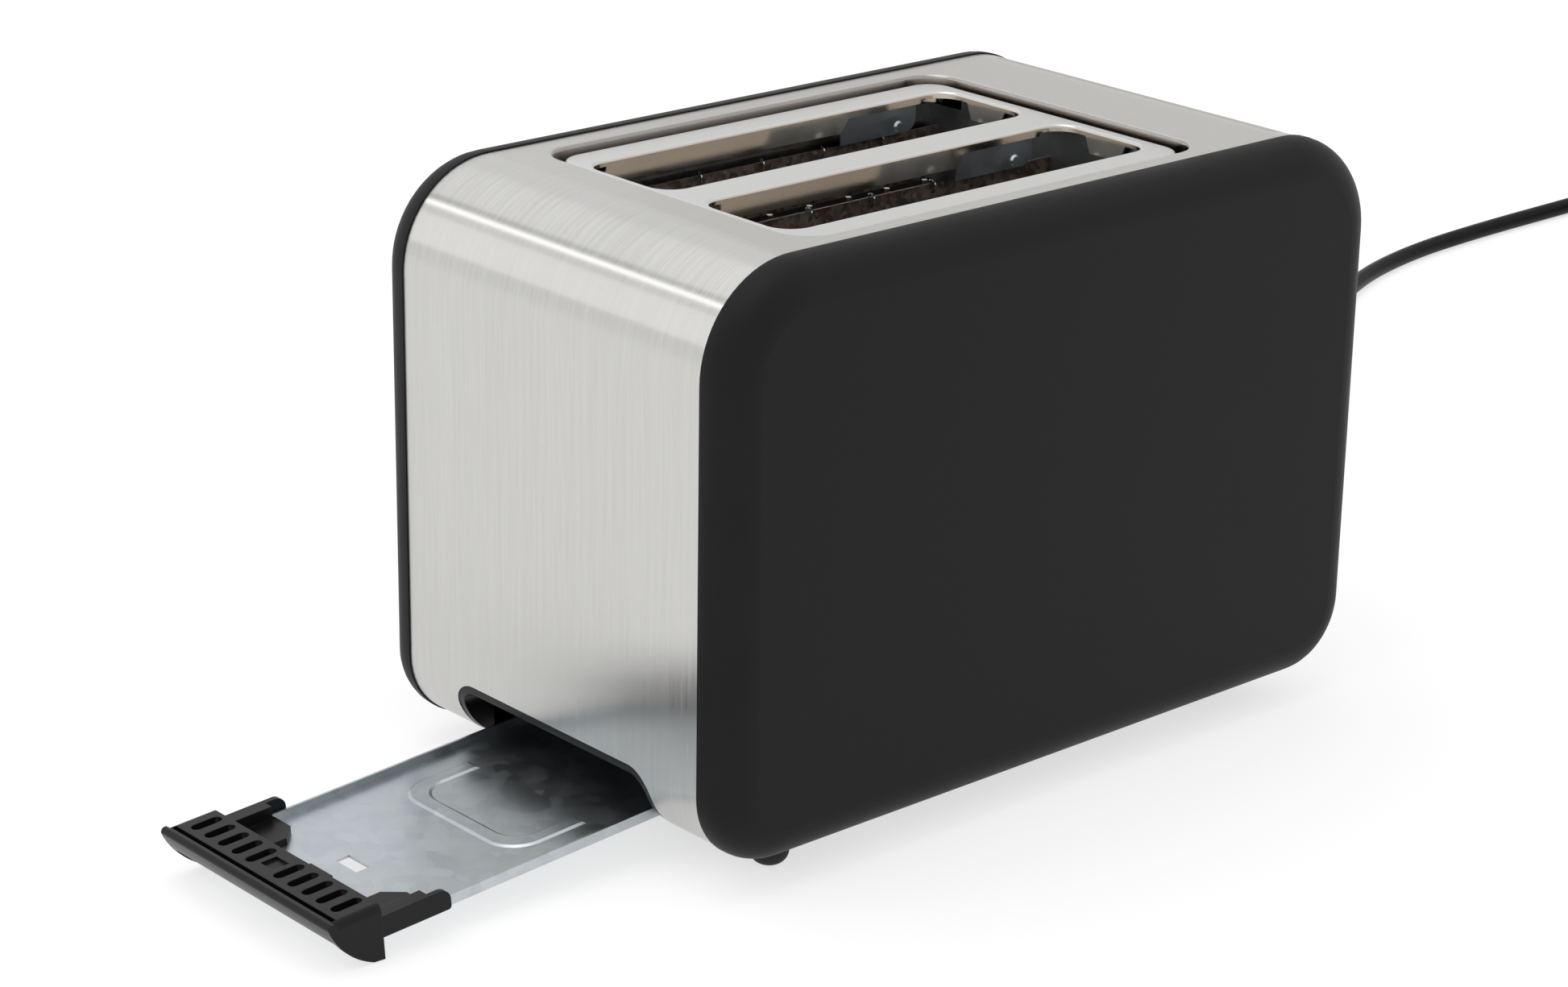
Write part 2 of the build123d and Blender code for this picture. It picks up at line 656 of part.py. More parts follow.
with BuildPart() as dial_potentiometer:
    rod_along_x((board_x + board_thickness, board_x + 8), dial_y, dial_z, 8)
    rod_along_x((board_x + 3, board_x + 9), dial_y, dial_z, shaft_radius + 0.05, Mode.SUBTRACT)
dial_potentiometer.part.label = "dial_potentiometer"
export_step(dial_potentiometer.part, "parts/dial_potentiometer.step")

# ---- Circuit board and what is soldered to it ----
with BuildPart() as circuit_board:
    block((board_x, board_x + board_thickness), (-12, 58), (magnet_top - 18, 152))
    block((board_x - 1, board_x + 2), (47, 60), (0, 45), Mode.SUBTRACT)
circuit_board.part.label = "circuit_board"
export_step(circuit_board.part, "parts/circuit_board.step")

with BuildPart() as board_components:
    block((board_x - 15, board_x), (38, 54), (62, 80))
    block((board_x - 12, board_x), (38, 50), (92, 106))
    for y, z in ((42, 120), (54, 120), (48, 134)):
        rod_along_x((board_x - 13, board_x), y, z, 4.5)
board_components.part.label = "board_components"
export_step(board_components.part, "parts/board_components.step")

# ---- Mains terminal block and the three leads from the cord ----
with BuildPart() as terminal_block:
    block((control_end - 29, control_end - 17), (46, 62), (base_top, 25))
terminal_block.part.label = "terminal_block"
export_step(terminal_block.part, "parts/terminal_block.step")

with BuildPart() as lead_wires:
    for y in (gland_y - 2.2, gland_y, gland_y + 2.2):
        with BuildLine() as lead:
            FilletPolyline((control_end - 7, y, gland_z), (control_end - 23, y, gland_z),
                           (control_end - 23, y, 25), radius=7)
        with BuildSketch(Plane(origin=lead.line @ 0, z_dir=lead.line % 0)):
            Circle(0.9)
        sweep(path=lead.line)
lead_wires.part.label = "lead_wires"
export_step(lead_wires.part, "parts/lead_wires.step")

# ---- Crumb tray rails: channels between the end plates, parallel to the tray ----
rail_x = (end_plate_low + sheet - tray_end + 0.5, end_plate_high - sheet - tray_end - 1)
with BuildPart(tray_plane) as near_tray_rail:
    with Locations(((rail_x[0] + rail_x[1]) / 2, -tray_half, 0)):
        with Locations((0, -1.4, 0.95)):
            Box(rail_x[1] - rail_x[0], 1.2, 6.7)
        for z in (-1.9, 3.9):
            with Locations((0, 0.3, z)):
                Box(rail_x[1] - rail_x[0], 4.2, 1.0)
near_tray_rail.part.label = "near_tray_rail"
export_step(near_tray_rail.part, "parts/near_tray_rail.step")

far_tray_rail = far_twin(near_tray_rail)
far_tray_rail.part.label = "far_tray_rail"
export_step(far_tray_rail.part, "parts/far_tray_rail.step")

# ---- Crumb tray: folded sheet with an embossed U and a catch hole ----
tray_middle = (tray_outer_end + tray_inner_end) / 2
tray_length = tray_inner_end - tray_outer_end
emboss_x = -36.4
emboss_reach = 28.0
emboss_half = 28.5
emboss_width = 6.0
emboss_corner = 11.0
emboss_height = 0.45
emboss_slant = 65
hole_x = -71.5
with BuildPart(tray_plane) as crumb_tray:
    with Locations((tray_middle, 0, (tray_rim - sheet) / 2)):
        Box(tray_length, 2 * tray_half, tray_rim + sheet)
    with Locations((tray_middle, 0, tray_rim / 2)):
        Box(tray_length + 2, 2 * (tray_half - sheet), tray_rim, mode=Mode.SUBTRACT)
    with Locations((tray_inner_end - sheet / 2, 0, tray_rim / 2)):
        Box(sheet, 2 * tray_half - 1, tray_rim)
    with BuildSketch(tray_plane):
        with Locations((emboss_x + emboss_reach, 0)):
            RectangleRounded(2 * emboss_reach, 2 * emboss_half, emboss_corner)
            RectangleRounded(2 * (emboss_reach - emboss_width), 2 * (emboss_half - emboss_width),
                             emboss_corner - emboss_width / 2, mode=Mode.SUBTRACT)
            Rectangle(2 * emboss_reach, 3 * emboss_half, align=(Align.MIN, Align.CENTER),
                      mode=Mode.SUBTRACT)
    extrude(amount=emboss_height, taper=emboss_slant)
    with Locations((hole_x, 0, 0)):
        Box(4.7, 10.2, 4, mode=Mode.SUBTRACT)
crumb_tray.part.label = "crumb_tray"
export_step(crumb_tray.part, "parts/crumb_tray.step")

# ---- Tray handle: slotted bar with a curled lip, end cheeks and two arms clasping the rims ----
handle_half = 41.6
handle_top = 10.0
handle_bottom = -6.8
handle_back = -90.7
handle_wall = 2.0
lip_tip = (-108.4, 8.4)
lip_edge = 2.8
groove_x = (-106.0, -104.4)
groove_depth = 5.0
grip_slots = 5
grip_pitch = 6.9
grip_x = (-102.3, -92.3)
arm_tip = -67.0
arm_top = 6.2
arm_bottom = -0.3
arm_out = 41.3
arm_in = 36.2
bridge_end = -74.0
gusset_thickness = 2.1
side_plane = Plane(tray_plane.origin, x_dir=tray_plane.x_dir, z_dir=(0, -1, 0))
cheek_in = handle_half - handle_wall
with BuildPart(tray_plane) as tray_handle:
    with BuildSketch(side_plane):
        with BuildLine():
            Polyline((groove_x[0] - 0.6, handle_top), (handle_back, handle_top),
                     (handle_back, handle_bottom), (-94.5, handle_bottom + 0.4))
            ThreePointArc((-94.5, handle_bottom + 0.4), (-103.9, 0.6), lip_tip)
            ThreePointArc(lip_tip, (-108.1, 9.5), (groove_x[0] - 0.6, handle_top))
        make_face()
    extrude(amount=handle_half, both=True)
    fillet(tray_handle.faces().group_by(Axis.Y)[0].edges().group_by(Axis.Z)[-1], 2.4)
    fillet(tray_handle.faces().group_by(Axis.Y)[-1].edges().group_by(Axis.Z)[-1], 2.4)
    # hollow under the plate, open below; the lip stops short of the cheeks' depth
    block((-103.2, handle_back - 1.3), (-cheek_in, cheek_in), (-12, handle_top - handle_wall),
          Mode.SUBTRACT)
    block((-112, -103), (-cheek_in, cheek_in), (-12, lip_edge), Mode.SUBTRACT)
    block((-104, -88), (-cheek_in, cheek_in), (-12, 0.2), Mode.SUBTRACT)
    block(groove_x, (-cheek_in, cheek_in), (handle_top - groove_depth, handle_top + 1),
          Mode.SUBTRACT)
    with BuildSketch(tray_plane.offset(handle_top + 1)):
        for step in range(1, grip_slots + 1):
            for side in (-1, 1):
                with Locations((sum(grip_x) / 2, side * step * grip_pitch)):
                    SlotOverall(grip_x[1] - grip_x[0], 3.6)
    extrude(amount=-handle_wall - 2, mode=Mode.SUBTRACT)
    block((-100.1, -94.6), (-3.1, 3.1), (handle_top - 0.8, handle_top + 1), Mode.SUBTRACT)
    block((handle_back - 1, handle_back + 0.6), (-17.8, -7.3), (handle_top - 3, handle_top))
    for side in (-1, 1):
        # arm over the tray's rim, longest on its outer side
        clasp = sorted((side * arm_in, side * arm_out))
        outer = sorted((side * 39.4, side * arm_out))
        rim = sorted((side * 37.8, side * 39.4))
        block((handle_back - 1, bridge_end), clasp, (0.2, arm_top))
        block((handle_back - 2.5, bridge_end + 1), rim, (-2, tray_rim + 0.5), Mode.SUBTRACT)
        with BuildSketch(side_plane.offset(-outer[0])) as arm:
            Polygon((handle_back - 1, arm_bottom), (arm_tip, arm_bottom), (arm_tip, arm_top),
                    (handle_back - 1, arm_top), align=None)
            fillet(arm.vertices().group_by(Axis.X)[-1].sort_by(Axis.Y)[-1], 3.5)
            fillet(arm.vertices().group_by(Axis.X)[-1].sort_by(Axis.Y)[0], 1)
        extrude(amount=outer[0] - outer[1])
        # gusset lying on the tray's floor
        with BuildSketch(tray_plane.offset(0.2)):
            Polygon((handle_back - 1, side * 37.4), (bridge_end + 1, side * 37.4),
                    (bridge_end + 1, side * 28.5), (-78.2, side * 23), (handle_back - 1, side * 23),
                    align=None)
        extrude(amount=gusset_thickness)
tray_handle.part.label = "tray_handle"
export_step(tray_handle.part, "parts/tray_handle.step")

# ---- Cord gland: flanged bush through the steel with a tapered strain relief ----
with BuildPart() as cord_gland:
    with BuildSketch(Plane.XZ.offset(-gland_y)):
        with BuildLine():
            Polyline((control_end - 7, gland_z), (control_end - 7, gland_z + 5.2),
                     (control_end, gland_z + 5.2), (control_end, gland_z + 7.5),
                     (control_end + 2, gland_z + 7.5), (control_end + 3, gland_z + 6),
                     (control_end + gland_length, gland_z + 4.3),
                     (control_end + gland_length, gland_z), (control_end - 7, gland_z))
        make_face()
    revolve(axis=Axis((control_end, gland_y, gland_z), (1, 0, 0)))
cord_gland.part.label = "cord_gland"
export_step(cord_gland.part, "parts/cord_gland.step")

# ---- Power cord: out of the gland, down to the table and away to its coil ----
coil_x = 738.0
coil_y = 190.0
coil_radius = 38.5
coil_lap_z = 1.5 * cord_diameter + 0.2
plug_back = 139.0
plug_front = 88.0
plug_z = 18.5
cord_points = [
    (control_end + gland_length, gland_y, gland_z),
    (225, gland_y, gland_z),
    (251, 54.5, 24),
    (283, 58, cord_axis_z),
    (330, 72, cord_axis_z),
    (377, 101, cord_axis_z),
    (422, 141, cord_axis_z),
    (467, 184, cord_axis_z),
    (517, 211, cord_axis_z),
    (569, 224, cord_axis_z),
    (625, 227.6, cord_axis_z),
    (683, 227.9, cord_axis_z),
    (coil_x - 14, coil_y + coil_radius, cord_axis_z),
]
tail_points = [
    (coil_x + coil_radius, coil_y, coil_lap_z),
    (coil_x + coil_radius, 174, coil_lap_z),
    (coil_x + coil_radius, 155, plug_z),
    (coil_x + coil_radius, plug_back, plug_z),
]


def corner_radii(points):
    """The arc at each corner: 0.45 of its shorter run over the tangent of half its turn."""
    radii = []
    for before, corner, after in zip(points, points[1:], points[2:]):
        run_in = Vector(corner) - Vector(before)
        run_out = Vector(after) - Vector(corner)
        turn = run_in.get_angle(run_out)
        radii.append(0.45 * min(run_in.length, run_out.length) / tan(radians(turn / 2)))
    return radii


for name, points in (("power_cord", cord_points), ("cord_tail", tail_points)):
    arcs = corner_radii(points)
    cord_piece, cord_run = swept_round(points, arcs, cord_radius)
    section = pi * cord_radius**2
    print(name, "radii", [round(r, 1) for r in arcs], "length", round(cord_run, 1),
          "volume over section x length", round(cord_piece.part.volume / (section * cord_run), 4))
    cord_piece.part.label = name
    export_step(cord_piece.part, f"parts/{name}.step")

# ---- Cord coil: one turn on the table and the start of a second lying on it ----
with BuildPart() as cord_coil:
    with BuildSketch():
        with Locations((coil_x, coil_y)):
            Circle(coil_radius + cord_radius)
            Circle(coil_radius - cord_radius, mode=Mode.SUBTRACT)
    extrude(amount=cord_diameter)
    with BuildSketch(Plane.XY.offset(cord_diameter)):
        with Locations((coil_x, coil_y)):
            Circle(coil_radius + cord_radius)
            Circle(coil_radius - cord_radius, mode=Mode.SUBTRACT)
            Rectangle(120, 60, align=(Align.CENTER, Align.MAX), mode=Mode.SUBTRACT)
    extrude(amount=cord_diameter)
cord_coil.part.label = "cord_coil"
export_step(cord_coil.part, "parts/cord_coil.step")

# ---- Mains plug with two round pins ----
plug_x = coil_x + coil_radius
with BuildPart() as power_plug:
    with BuildSketch(Plane.XY.offset(plug_z)):
        with BuildLine():
            Polyline((plug_x, plug_back), (plug_x + 4.2, plug_back), (plug_x + 5.5, plug_back - 16),
                     (plug_x + 11, plug_back - 20), (plug_x + 12, plug_front + 16),
                     (plug_x + 18.4, plug_front + 12), (plug_x + 18.4, plug_front),
                     (plug_x, plug_front), (plug_x, plug_back))
        make_face()
    revolve(axis=Axis((plug_x, plug_front, plug_z), (0, 1, 0)))
power_plug.part.label = "power_plug"
export_step(power_plug.part, "parts/power_plug.step")

pin_radius = 2.4
pin_length = 19.0
pin_spacing = 19.0
with BuildPart() as plug_pins:
    for side in (-1, 1):
        with Locations((plug_x + side * pin_spacing / 2, plug_front - pin_length / 2, plug_z)):
            Cylinder(pin_radius, pin_length, rotation=(90, 0, 0))
    fillet(plug_pins.faces().filter_by(Axis.Y).group_by(Axis.Y)[0].edges(), 1.0)
plug_pins.part.label = "plug_pins"
export_step(plug_pins.part, "parts/plug_pins.step")
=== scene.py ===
import json
from math import cos, pi, radians, sin

import bmesh
import bpy
from mathutils import Matrix, Vector


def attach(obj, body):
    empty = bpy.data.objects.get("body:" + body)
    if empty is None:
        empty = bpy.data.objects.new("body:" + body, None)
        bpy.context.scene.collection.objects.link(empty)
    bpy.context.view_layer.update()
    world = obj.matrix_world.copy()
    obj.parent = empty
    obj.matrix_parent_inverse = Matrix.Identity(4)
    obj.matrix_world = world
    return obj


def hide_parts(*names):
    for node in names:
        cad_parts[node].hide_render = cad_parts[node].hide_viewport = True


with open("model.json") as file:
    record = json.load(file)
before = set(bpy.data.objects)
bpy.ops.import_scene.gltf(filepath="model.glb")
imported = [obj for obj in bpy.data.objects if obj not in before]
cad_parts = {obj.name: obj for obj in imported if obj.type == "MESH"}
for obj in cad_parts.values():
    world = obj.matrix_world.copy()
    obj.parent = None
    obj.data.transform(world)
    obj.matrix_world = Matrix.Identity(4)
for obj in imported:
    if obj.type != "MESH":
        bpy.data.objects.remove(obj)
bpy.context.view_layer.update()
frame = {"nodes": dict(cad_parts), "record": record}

# Two-slice pop-up toaster: the looks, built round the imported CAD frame. Metres, +Z up,
# +X towards the controls, -Y the near side, the table at z = 0.

nodes = frame["nodes"]
scene = bpy.context.scene

body_x = 0.038
control_end = body_x + 0.1331
plate_top = 0.185
opening_x = 0.031
opening_half = (0.0815, 0.060)


# ---- Camera ----
camera_place = Vector((-0.7459, -0.8321, 0.4893))
azimuth, elevation, roll = radians(-41.76), radians(19.98), radians(0.90)
back = Vector((sin(azimuth) * cos(elevation), -cos(azimuth) * cos(elevation), sin(elevation)))
level = Vector((0, 0, 1)).cross(back).normalized()
upright = back.cross(level)
right = level * cos(roll) + upright * sin(roll)
up = upright * cos(roll) - level * sin(roll)
camera_data = bpy.data.cameras.new("photo_camera")
camera_data.sensor_width = 36
camera_data.lens = 88.98
camera = bpy.data.objects.new("photo_camera", camera_data)
scene.collection.objects.link(camera)
camera.matrix_world = (Matrix.Translation(camera_place)
                       @ Matrix((right, up, back)).transposed().to_4x4())
scene.camera = camera


# ---- Cord: along the table, then one and a quarter turns put away beside the view ----
cord_radius = 0.0035
lying = cord_radius + 0.0001
gland_y, gland_z = 0.054, 0.036
gland_end = Vector((0.2041, gland_y, gland_z))
coil_centre = Vector((0.738, 0.190, 0))
coil_radius = 0.0385
points_per_turn = 16
coil_points = 20        # one and a quarter turns
lead_points = [
    gland_end,
    (0.225, gland_y, gland_z),
    (0.251, 0.0545, 0.024),
    (0.283, 0.058, lying),
    (0.330, 0.072, lying),
    (0.377, 0.101, lying),
    (0.422, 0.141, lying),
    (0.467, 0.184, lying),
    (0.517, 0.211, lying),
    (0.569, 0.224, lying),
    (0.625, 0.2276, lying),
    (0.683, 0.2279, lying),
]
tail_points = [
    (0.7765, 0.174, 0.0112),
    (0.7765, 0.155, 0.0185),
    (0.7765, 0.139, 0.0185),
]


def coil_height(turned):
    """The first turn lies on the table; the rest climbs on to it."""
    climb_from, climb_to = 0.66, 0.92
    rise = min(max((turned - climb_from) / (climb_to - climb_from), 0), 1)
    return lying + rise * (2 * cord_radius + 0.0003)


route = [Vector(p) for p in lead_points]
for step in range(coil_points + 1):
    turned = step / points_per_turn
    angle = pi / 2 - 2 * pi * turned
    place = coil_centre + coil_radius * 1.012 * Vector((cos(angle), sin(angle), 0))
    route.append(Vector((place.x, place.y, coil_height(turned))))
route += [Vector(p) for p in tail_points]

cord_curve = bpy.data.curves.new("flex", "CURVE")
cord_curve.dimensions = "3D"
cord_curve.bevel_depth = 1.0      # each point's radius carries the cord's real half thickness,
                                  # because a curve's box grows by its points' radius
cord_curve.bevel_resolution = 6
cord_curve.resolution_u = 12
spline = cord_curve.splines.new("NURBS")
spline.points.add(len(route) - 1)
for point, place in zip(spline.points, route):
    point.co = (*place, 1)
    point.radius = cord_radius
spline.order_u = 3
spline.use_endpoint_u = True
flex = bpy.data.objects.new("flex", cord_curve)
scene.collection.objects.link(flex)
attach(flex, "housing")
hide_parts("power_cord", "cord_coil", "cord_tail")


# ---- Mesh helpers ----
def piece(name, verts, faces, slot, body="housing", smooth=True):
    """A named mesh that rides on a body."""
    mesh = bpy.data.meshes.new(name)
    mesh.from_pydata([tuple(v) for v in verts], [], faces)
    mesh.update()
    made = bmesh.new()
    made.from_mesh(mesh)
    bmesh.ops.recalc_face_normals(made, faces=made.faces)
    made.to_mesh(mesh)
    made.free()
    for face in mesh.polygons:
        face.use_smooth = smooth
    obj = bpy.data.objects.new(name, mesh)
    scene.collection.objects.link(obj)
    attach(obj, body)
    return obj


def turned_x(profile, centre_y, centre_z, around=64):
    """Verts and faces of a profile of (x, radius) points turned about an axis along X."""
    verts, faces = [], []
    for x, radius in profile:
        for k in range(around):
            angle = 2 * pi * k / around
            verts.append((x, centre_y + radius * cos(angle), centre_z + radius * sin(angle)))
    for ring in range(len(profile) - 1):
        for k in range(around):
            a, b = ring * around + k, ring * around + (k + 1) % around
            faces.append((a, b, b + around, a + around))
    faces.append(tuple(range(around)))
    faces.append(tuple(range(len(verts) - around, len(verts))))
    return verts, faces


def tube(path, radius, around=8):
    """Verts and faces of a round bar along a list of points."""
    verts, faces = [], []
    for i, place in enumerate(path):
        ahead = path[min(i + 1, len(path) - 1)] - path[max(i - 1, 0)]
        ahead.normalize()
        side = ahead.orthogonal().normalized() if i == 0 else side - ahead * side.dot(ahead)
        side.normalize()
        other = ahead.cross(side)
        for k in range(around):
            angle = 2 * pi * k / around
            verts.append(place + radius * (side * cos(angle) + other * sin(angle)))
    for ring in range(len(path) - 1):
        for k in range(around):
            a, b = ring * around + k, ring * around + (k + 1) % around
            faces.append((a, b, b + around, a + around))
    faces.append(tuple(range(around)))
    faces.append(tuple(range(len(verts) - around, len(verts))))
    return verts, faces


def joined(parts):
    """Several (verts, faces) lists as one."""
    verts, faces = [], []
    for more_verts, more_faces in parts:
        start = len(verts)
        verts += more_verts
        faces += [tuple(start + i for i in face) for face in more_faces]
    return verts, faces


# ---- Strain relief: flange, then a ribbed sleeve narrowing to the cord ----
gland_profile = [(control_end - 0.007, 0.0040), (control_end - 0.007, 0.0052),
                 (control_end, 0.0052), (control_end, 0.0069), (control_end + 0.0004, 0.0073),
                 (control_end + 0.0014, 0.0073), (control_end + 0.0019, 0.0069),
                 (control_end + 0.0024, 0.0061)]
rib_count = 8
for rib in range(rib_count):
    rib_x = control_end + 0.0032 + rib * 0.0036
    outer = 0.0060 - rib * 0.00019
    inner = outer - 0.0009
    gland_profile += [(rib_x, outer), (rib_x + 0.0017, outer), (rib_x + 0.0021, inner),
                      (rib_x + 0.0032, inner)]
gland_profile += [(0.2036, 0.0045), (0.2041, 0.0041), (0.2041, 0.0036)]
strain_relief = piece("strain_relief", *turned_x(gland_profile, gland_y, gland_z), "rubber")
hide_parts("cord_gland")

# ---- Heater staples: small wire hooks that hold the ribbons at the boards' upper edges ----
staples = []
for board_y, face in ((-0.051, 1), (0.0, -1), (0.0, 1), (0.051, -1)):
    for k in range(6):
        x = -0.0458 + k * 0.0255
        out = board_y + face * 0.0006
        staples.append(tube([Vector((x, out, 0.1690)), Vector((x, out + face * 0.0006, 0.1700)),
                             Vector((x, out + face * 0.0009, 0.1716)),
                             Vector((x, out + face * 0.0004, 0.1726)),
                             Vector((x, out - face * 0.0006, 0.1729))], 0.00035))
piece("heater_staples", *joined(staples), "plated_wire")

# ---- Dial marks: seven bars round the browning dial ----
mark_x = control_end + 0.0020
dial_y, dial_z = 0.020, 0.058
marks = []
for k in range(7):
    angle = radians(-135 + k * 45)
    along = Vector((0, sin(angle), cos(angle)))
    across = Vector((0, cos(angle), -sin(angle)))
    middle = Vector((mark_x, dial_y, dial_z)) + along * 0.0176
    half = 0.0010 if k % 2 else 0.0014
    corners = [middle + along * a + across * b for a, b in
               ((-half, -0.0003), (half, -0.0003), (half, 0.0003), (-half, 0.0003))]
    proud = Vector((0.00012, 0, 0))
    marks.append((corners + [c + proud for c in corners],
                  [(0, 1, 2, 3), (4, 5, 6, 7), (0, 1, 5, 4), (1, 2, 6, 5), (2, 3, 7, 6),
                   (3, 0, 4, 7)]))
dial_marks = piece("dial_marks", *joined(marks), "light_pipe", smooth=False)


# ---- Material helpers ----
class Paint:
    """One procedural material, built round its Principled shader."""

    def __init__(self, name, colour, rough, metal=0.0, specular=0.5, **constant):
        self.material = bpy.data.materials.new(name)
        self.material.use_nodes = True
        self.material.diffuse_color = (*colour, 1)
        self.tree = self.material.node_tree
        self.shader = self.tree.nodes["Principled BSDF"]
        self.place = self.add("ShaderNodeTexCoord").outputs["Object"]
        self.shader.inputs["Base Color"].default_value = (*colour, 1)
        self.shader.inputs["Roughness"].default_value = rough
        self.shader.inputs["Metallic"].default_value = metal
        self.shader.inputs["Specular IOR Level"].default_value = specular
        for socket, value in constant.items():
            self.shader.inputs[socket.replace("_", " ")].default_value = value

    def add(self, kind, inputs=None, **settings):
        """A node; inputs may be values or other nodes' outputs."""
        node = self.tree.nodes.new(kind)
        for key, value in settings.items():
            setattr(node, key, value)
        for key, value in (inputs or {}).items():
            if isinstance(value, bpy.types.NodeSocket):
                self.tree.links.new(value, node.inputs[key])
            else:
                node.inputs[key].default_value = value
        return node

    def noise(self, scale, detail=3.0, rough=0.55, offset=(0, 0, 0)):
        """Noise with so many features per metre along each axis."""
        mapped = self.add("ShaderNodeMapping", {"Vector": self.place, "Scale": scale,
                                                "Location": offset})
        return self.add("ShaderNodeTexNoise", {"Vector": mapped.outputs[0], "Scale": 1.0,
                                               "Detail": detail, "Roughness": rough}).outputs["Fac"]

    def cells(self, scale):
        """A random value for each of many small cells."""
        mapped = self.add("ShaderNodeMapping", {"Vector": self.place, "Scale": (scale,) * 3})
        found = self.add("ShaderNodeTexVoronoi", {"Vector": mapped.outputs[0], "Scale": 1.0})
        return self.add("ShaderNodeSeparateColor", {"Color": found.outputs["Color"]}).outputs[0]

    def span(self, value, low, high, start=0.3, end=0.7):
        """The value remapped, clamped at both ends."""
        return self.add("ShaderNodeMapRange", {"Value": value, "From Min": start, "From Max": end,
                                               "To Min": low, "To Max": high}).outputs[0]

    def sum(self, first, second, share=0.5):
        """A blend of two values."""
        return self.add("ShaderNodeMix", {"Factor": share, 2: first, 3: second}).outputs[0]

    def maths(self, operation, first, second):
        return self.add("ShaderNodeMath", {0: first, 1: second}, operation=operation).outputs[0]

    def blend(self, value, first, second):
        """A colour between two colours."""
        colours = [(*c, 1) if isinstance(c, tuple) else c for c in (first, second)]
        return self.add("ShaderNodeMix", {"Factor": value, 6: colours[0], 7: colours[1]},
                        data_type="RGBA").outputs[2]

    def axis(self, letter):
        return self.add("ShaderNodeSeparateXYZ", {0: self.place}).outputs[letter]

    def above(self, letter, limit, soft=0.0002):
        """One where the coordinate is over the limit, else nought."""
        return self.span(self.axis(letter), 0, 1, limit - soft, limit + soft)

    def colour(self, value):
        self.tree.links.new(value, self.shader.inputs["Base Color"])

    def roughness(self, value):
        self.tree.links.new(value, self.shader.inputs["Roughness"])

    def relief(self, height, strength, distance, edge=0.0):
        """Bump from a height, on edges softened by a small radius."""
        inputs = {"Height": height, "Strength": strength, "Distance": distance}
        if edge:
            inputs["Normal"] = self.add("ShaderNodeBevel", {"Radius": edge},
                                        samples=4).outputs[0]
        bump = self.add("ShaderNodeBump", inputs)
        self.tree.links.new(bump.outputs[0], self.shader.inputs["Normal"])


def shade(colour, factor):
    return tuple(min(c * factor, 1.0) for c in colour)


def brushed(name, colour, rough, grain, anisotropic=0.0, depth=0.25, contrast=0.06):
    """Metal with fine parallel scratches; the grain gives features per metre along each axis."""
    paint = Paint(name, colour, rough, 1.0)
    fine = paint.noise(grain, 4.0, 0.6)
    coarse = paint.noise(tuple(g / 2.3 for g in grain), 3.0, 0.5, (0.37, 0.11, 0.53))
    smudge = paint.noise((11, 13, 9), 3.0, 0.5, (0.2, 0.7, 0.4))
    scratch = paint.sum(fine, coarse, 0.45)
    tone = paint.sum(scratch, smudge, 0.25)
    paint.colour(paint.blend(paint.span(tone, 0, 1), shade(colour, 1 - contrast),
                             shade(colour, 1 + contrast)))
    paint.roughness(paint.span(tone, rough - 0.045, rough + 0.045))
    paint.relief(scratch, depth, 0.00004)
    if anisotropic:
        paint.shader.inputs["Anisotropic"].default_value = anisotropic
        paint.shader.inputs["Anisotropic Rotation"].default_value = 0.25
        tangent = paint.add("ShaderNodeTangent", direction_type="RADIAL", axis="Y")
        paint.tree.links.new(tangent.outputs[0], paint.shader.inputs["Tangent"])
    return paint


def moulded(name, colour, rough, specular=0.5, texture=1500, depth=0.12, edge=0.0003, wear=0.05):
    """Moulded plastic or rubber with a fine surface texture and faint handling marks."""
    paint = Paint(name, colour, rough, 0.0, specular)
    fine = paint.noise((texture,) * 3, 2.0, 0.5)
    rubbed = paint.noise((23, 19, 27), 4.0, 0.6, (0.6, 0.3, 0.1))
    paint.colour(paint.blend(paint.span(rubbed, 0, 1), shade(colour, 0.9), shade(colour, 1.12)))
    paint.roughness(paint.span(rubbed, rough - wear, rough + wear))
    paint.relief(fine, depth, 0.00005, edge)
    return paint


# ---- Materials ----
steel = (0.570, 0.565, 0.550)
steel_band = brushed("steel_band", steel, 0.25, (45, 1400, 45), anisotropic=0.95, depth=0.1,
                     contrast=0.09)
rolled = steel_band.maths("MULTIPLY", steel_band.above("Z", 0.1800), steel_band.span(
    steel_band.axis("Z"), 1, 0, 0.18660, 0.18688))
across = steel_band.maths("ABSOLUTE", steel_band.axis("Y"), 0.0)
inside_y = steel_band.span(across, 1, 0, opening_half[1] + 0.0016, opening_half[1] + 0.0020)
past_bend = steel_band.above("X", opening_x - opening_half[0] - 0.002)
rolled = steel_band.maths("MULTIPLY", steel_band.maths("MULTIPLY", rolled, inside_y), past_bend)
band_colour = steel_band.shader.inputs["Base Color"].links[0].from_socket
steel_band.colour(steel_band.blend(rolled, band_colour, (0.36, 0.33, 0.31)))

satin = (0.64, 0.645, 0.65)
satin_rough = 0.33
flange_rough = 0.10
# Beige flange colour: a painted reflection of the brightly lit inner walls of the slots, which the
# polished flanges would mirror.
reflected_wall_beige = (0.60, 0.545, 0.485)
flange_lean = 0.15      # the stamped flanges lean outwards towards the top
plate_paint = Paint("slot_plate_metal", satin, satin_rough, 1.0)
satin_grain = plate_paint.noise((1900, 1900, 1900), 2.0, 0.5)
# Noise that varies the painted reflection on the flanges, in soft streaks that run up and down.
reflection_streaks = plate_paint.noise((15, 12, 60), 3.0, 0.55)
on_top = plate_paint.above("Z", plate_top - 0.0005, 0.00025)
